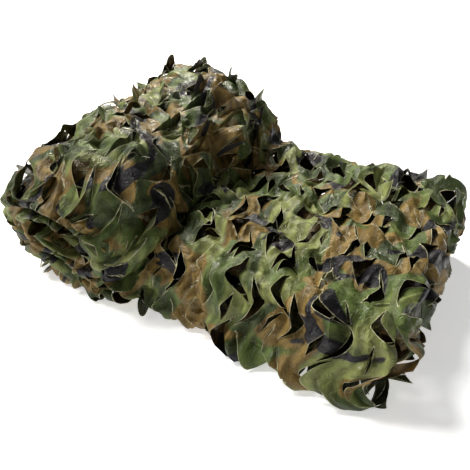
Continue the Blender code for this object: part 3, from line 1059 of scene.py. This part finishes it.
LUMP_LEAN = 2.5
ROLL_PRINT_SLIDE = 9.0  # the print's slide from the band's, in metres
ROLL_CURL = (0.5, 1.8)
ROLL_CURL_OUT = 0.66
ROLL_OPENING = (0.003, 0.007)
ROLL_LIP = (0.004, 0.010)
ROLL_SMALL_FACETS = (0.0021, 0.014)
ROLL_BROAD_FACETS = (0.0050, 0.040)
ROLL_SINK = 0.003
ROLL_THREADS_ABOVE = 0.09


def roll_path(first, last):
    """The winding's section: an oval that shrinks more and more with each turn, about 1 mm a step."""
    turn = np.arange(first, last, TURN_STEP)
    angle = -math.pi / 2 - 2 * math.pi * turn
    shrink = LAYER / 2 + np.interp(turn, ROLL_TURN_MARKS, ROLL_SHRINK)
    x = ROLL_CENTRE_X + (ROLL_HALF_LENGTH - shrink) * np.cos(angle)
    z = ROLL_HEIGHT / 2 + (ROLL_HEIGHT / 2 - shrink) * np.sin(angle)
    return np.stack([x, z], axis=-1)


def end_profile(draw_in, extra):
    """How a turn runs along the roll and round its folded end: (run, along, draw, cap), middle to end.

    The draw-in is the solid's, and the cap is how far the last stretch closes towards the end's middle.
    """
    half = ROLL_WIDTH / 2 - CAP_START
    y = np.linspace(0.0, half, MIDDLE_POINTS)
    draw = draw_in * np.clip((2 * y / ROLL_WIDTH - DRAW_IN_START) / (1 - DRAW_IN_START), 0.0, 1.0) ** 2
    slope = math.atan2((draw[-1] - draw[-2]) * MEAN_RADIUS, y[1] - y[0])
    over = np.linspace(0.0, extra, END_POINTS)
    heading = np.interp(over, [0.0, extra * 0.75, extra], [slope, *END_HEADINGS])
    y = np.concatenate([y, half + np.cumsum(np.cos(heading)) * over[1]])
    draw = np.concatenate([draw, np.full(END_POINTS, draw[-1])])
    cap = np.concatenate([np.zeros(MIDDLE_POINTS), np.cumsum(np.sin(heading)) * over[1] / MEAN_RADIUS])
    steps = np.hypot(np.diff(y), (np.diff(draw) + np.diff(cap)) * MEAN_RADIUS)
    return np.concatenate([[0.0], np.cumsum(steps)]), y, draw, cap


near_profile = end_profile(NEAR_DRAW_IN, END_EXTRA)
far_profile = end_profile(FAR_DRAW_IN, END_EXTRA)
near_reach = near_profile[0][-1]
far_reach = far_profile[0][-1]
roll_width = near_reach + far_reach


def lay_on_roll(moved, height, path):
    """Place flat points (run over the ends, run round the winding) on the roll, at their heights.

    Away from the floor the section is scaled by 1 + rise + lump - draw about its foot, and past the ends
    it closes towards the end's middle, where the near end's flaps stand out over the lower ones.
    """
    section, normal = read_path(path, moved[:, 1])
    v = moved[:, 0] - near_reach
    near = [np.interp(-v, near_profile[0], values) for values in near_profile[1:]]
    far = [np.interp(v, far_profile[0], values) for values in far_profile[1:]]
    y = np.where(v < 0, -near[0], far[0])
    draw, closing = np.where(v < 0, near[1], far[1]), np.where(v < 0, near[2], far[2])
    cap = np.clip((np.abs(v) - END_FADE_START) / END_FADE_RUN, 0.0, 1.0)
    flat = section + normal * (height * (1 - FLAT_ENDS * cap))[:, None]
    x, z = flat[:, 0], flat[:, 1]
    rise = ROLL_RISE * y / (ROLL_WIDTH / 2)
    lump = ROLL_LUMP / ROLL_HALF_LENGTH * ripple(y, LUMP_LENGTH, LUMP_LEAN * x / ROLL_HALF_LENGTH)
    clear = np.clip((z - LAYER) / (ROLL_HEIGHT / 4), 0.0, 1.0)
    scale = 1.0 + clear * (rise + lump - draw)
    out_x = ROLL_CENTRE_X + (x - ROLL_CENTRE_X) * scale * (1 - closing)
    out_x = out_x + ROLL_SKEW * y / ROLL_WIDTH + CENTRING
    lobes = (LOBE_OUT + LOBE_DEPTH * np.tanh((z - LOBE_HEIGHT) / LOBE_FADE)) * cap
    out_y = y + np.sign(v) * height * END_LIFT * cap - np.where(v < 0, lobes, 0.0)
    out_z = CAP_HEIGHT + (z * scale - CAP_HEIGHT) * (1 - closing)
    points = np.stack([out_x, out_y, np.maximum(out_z, LOWEST_CLOTH)], axis=-1)
    outward = np.stack([normal[:, 0], np.sign(v) * cap, normal[:, 1]], axis=-1)
    return points, outward


def path_run(path):
    """A path's length."""
    return float(np.linalg.norm(np.diff(path, axis=0), axis=1).sum())


def roll_slits(run, seed):
    """The slits over a winding: the band's, larger, turned more, with along and across exchanged."""
    curves = leaf_slits(run / ROLL_LEAF, roll_width / ROLL_LEAF, seed, ROLL_TURN_JITTER)
    return [curve[::-1, ::-1] * ROLL_LEAF for curve in curves]


outer_path = np.concatenate([[(BAND_LEFT + ROLL_TAIL, LAYER / 2)], roll_path(0.0, ROLL_OUTER_TURNS)])
outer_run = path_run(outer_path)
curves = roll_slits(outer_run, 71)
zones = ((ROLL_FINE, lambda a, b: b > ROLL_UNDER), (BAND_COARSE, lambda a, b: a > -1))
ragged = (ragged_line(outer_run, 22, ROLL_RAG_DEPTH), ragged_line(outer_run, 23, ROLL_RAG_DEPTH))
place, faces, lip, leaf, numbers = cut_cloth(roll_width, outer_run, zones, curves, ragged, 24)
random = np.random.default_rng(25)
count = len(curves)
curls = np.where(random.random(count) < ROLL_CURL_OUT, 1, -1) * random.uniform(*ROLL_CURL, count)
opening = random.uniform(*ROLL_OPENING, count)
lip_rise = np.where(curls < 0, 1, -1) * random.uniform(*ROLL_LIP, count)
moved, height = curl_leaves(place, lip, leaf, curves, numbers, curls, opening, lip_rise)
small, broad = facets(place, 26, *ROLL_SMALL_FACETS), facets(place, 28, *ROLL_BROAD_FACETS)
height += small + broad - ROLL_SINK
points, outward = lay_on_roll(moved, height, outer_path)
rim = rim_marks(place, faces)
net_roll = build_sheet("net_roll", points, faces, place + ROLL_PRINT_SLIDE, rim, outward)
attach(net_roll, "root")
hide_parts("camouflage_net")
roll_threads = frayed_threads("net_roll_threads", net_roll, ROLL_THREADS_ABOVE, 42)

# ---------------------------------------------------------------- roll's inner turns
# The tighter turns of the same cloth, wound inside the outer one. Their ends show as ragged leaves at the
# roll's two ends, and their middles, which can't be seen, lie flat with their slits shut.
INNER_SHOWN = 0.075
INNER_FINE = 0.0036
INNER_COARSE = 0.010
INNER_OVERLAP = 0.05  # of a turn, under the outer turn's end
INNER_CURL = (0.6, 1.7)
INNER_CURL_OUT = 0.6
INNER_OPENING = (0.001, 0.003)
INNER_LIP = (0.001, 0.004)
INNER_FACETS = (0.0040, 0.034)
INNER_PRINT_SLIDE = 5.0

inner_path = roll_path(ROLL_OUTER_TURNS - INNER_OVERLAP, ROLL_TURNS)
inner_run = path_run(inner_path)
curves = roll_slits(inner_run, 31)
zones = (
    (INNER_FINE, lambda a, b: (a < INNER_SHOWN) | (a > roll_width - INNER_SHOWN)),
    (INNER_COARSE, lambda a, b: a > -1),
)
ragged = (ragged_line(inner_run, 32, ROLL_RAG_DEPTH), ragged_line(inner_run, 33, ROLL_RAG_DEPTH))
place, faces, lip, leaf, numbers = cut_cloth(roll_width, inner_run, zones, curves, ragged, 34)
random = np.random.default_rng(35)
count = len(curves)
curls = np.where(random.random(count) < INNER_CURL_OUT, 1, -1) * random.uniform(*INNER_CURL, count)
opening = random.uniform(*INNER_OPENING, count)
lip_rise = np.where(curls < 0, 1, -1) * random.uniform(*INNER_LIP, count)
over_ends = np.array([curve[:, 0].mean() for curve in curves])
lying = (over_ends > INNER_SHOWN) & (over_ends < roll_width - INNER_SHOWN)
curls = np.where(lying, FLAT_CURL, curls)
opening = np.where(lying, 0.0, opening)
lip_rise = np.where(lying, 0.0, lip_rise)
moved, height = curl_leaves(place, lip, leaf, curves, numbers, curls, opening, lip_rise)
height += facets(place, 36, *INNER_FACETS)
points, outward = lay_on_roll(moved, height, inner_path)
rim = rim_marks(place, faces)
net_turns = build_sheet("net_turns", points, faces, place + INNER_PRINT_SLIDE, rim, outward)
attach(net_turns, "root")
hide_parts("camouflage_net")
